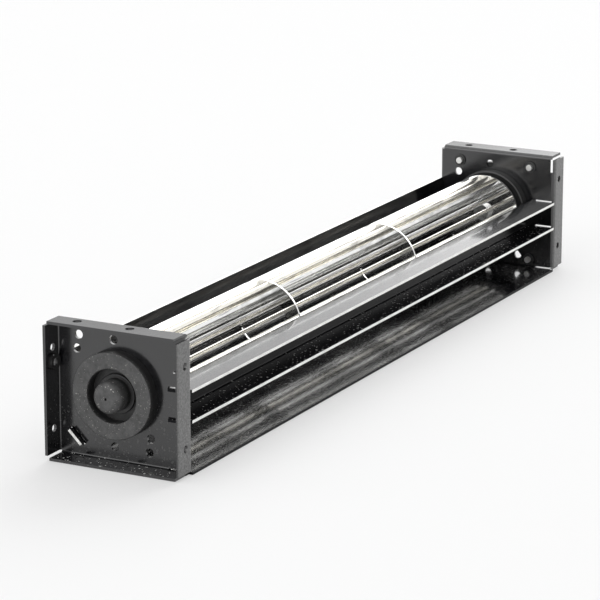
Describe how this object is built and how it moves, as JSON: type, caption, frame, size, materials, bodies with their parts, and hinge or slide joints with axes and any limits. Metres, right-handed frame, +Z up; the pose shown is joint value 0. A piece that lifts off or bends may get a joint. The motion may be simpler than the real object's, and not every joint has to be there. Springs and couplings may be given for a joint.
{
  "type": "cross flow fan",
  "caption": "Long cross flow fan: slender metal impeller between two square end plates, folded sheet scroll and vortex wall, flat motor at one end, rubber bearing damper at the other.",
  "frame": {"origin": "under the middle of the casing, on the surface that it stands on", "axes": "+X along the impeller from the bearing end to the motor end, -Y the side the air leaves by, +Z up"},
  "size_m": [0.3174, 0.0512, 0.0481],
  "materials": {
    "casing_sheet": "semi-gloss black coating on folded sheet",
    "blade_aluminium": "bright rolled",
    "hub_aluminium": "turned",
    "damper_rubber": "matt moulded",
    "zinc_steel": "zinc plated",
    "shaft_steel": "ground",
    "sintered_bronze": "sintered, oil filled",
    "motor_black": "smooth moulded",
    "rotor_steel": "thin black coating",
    "magnet_ferrite": "bonded ferrite",
    "core_steel": "laminated",
    "coil_copper": "enamelled copper wire",
    "board_green": "solder resist"
  },
  "bodies": {
    "casing": {"bearing_end_plate": "casing_sheet", "motor_end_plate": "casing_sheet", "rear_scroll_wall": "casing_sheet", "vortex_wall": "casing_sheet", "flange_nut": "casing_sheet", "bearing_damper": "damper_rubber", "bearing_bush": "sintered_bronze", "motor_shroud": "motor_black", "motor_flange": "motor_black", "motor_bearing_inner": "sintered_bronze", "motor_bearing_outer": "sintered_bronze", "stator_core": "core_steel", "stator_coils": "coil_copper", "circuit_board": "board_green", "motor_grommets": "damper_rubber", "motor_screws": "zinc_steel"},
    "impeller": {"impeller_blade_01": "blade_aluminium", "impeller_blade_02": "blade_aluminium", "impeller_blade_03": "blade_aluminium", "impeller_blade_04": "blade_aluminium", "impeller_blade_05": "blade_aluminium", "impeller_blade_06": "blade_aluminium", "impeller_blade_07": "blade_aluminium", "impeller_blade_08": "blade_aluminium", "impeller_blade_09": "blade_aluminium", "impeller_blade_10": "blade_aluminium", "impeller_blade_11": "blade_aluminium", "impeller_blade_12": "blade_aluminium", "impeller_blade_13": "blade_aluminium", "impeller_blade_14": "blade_aluminium", "impeller_blade_15": "blade_aluminium", "impeller_blade_16": "blade_aluminium", "impeller_blade_17": "blade_aluminium", "impeller_blade_18": "blade_aluminium", "impeller_blade_19": "blade_aluminium", "impeller_blade_20": "blade_aluminium", "impeller_blade_21": "blade_aluminium", "bearing_end_disc": "blade_aluminium", "motor_end_disc": "blade_aluminium", "support_ring_1": "blade_aluminium", "support_ring_2": "blade_aluminium", "bearing_hub": "hub_aluminium", "stub_shaft": "shaft_steel", "motor_hub": "hub_aluminium", "motor_shaft": "shaft_steel", "rotor_cup": "rotor_steel", "magnet_ring": "magnet_ferrite"}
  },
  "joints": [
    {"name": "impeller_spin", "type": "hinge", "parent": "casing", "child": "impeller", "pos_m": [0, 0.0019, 0.0243], "axis": [-1, 0, 0], "continuous": true}
  ]
}
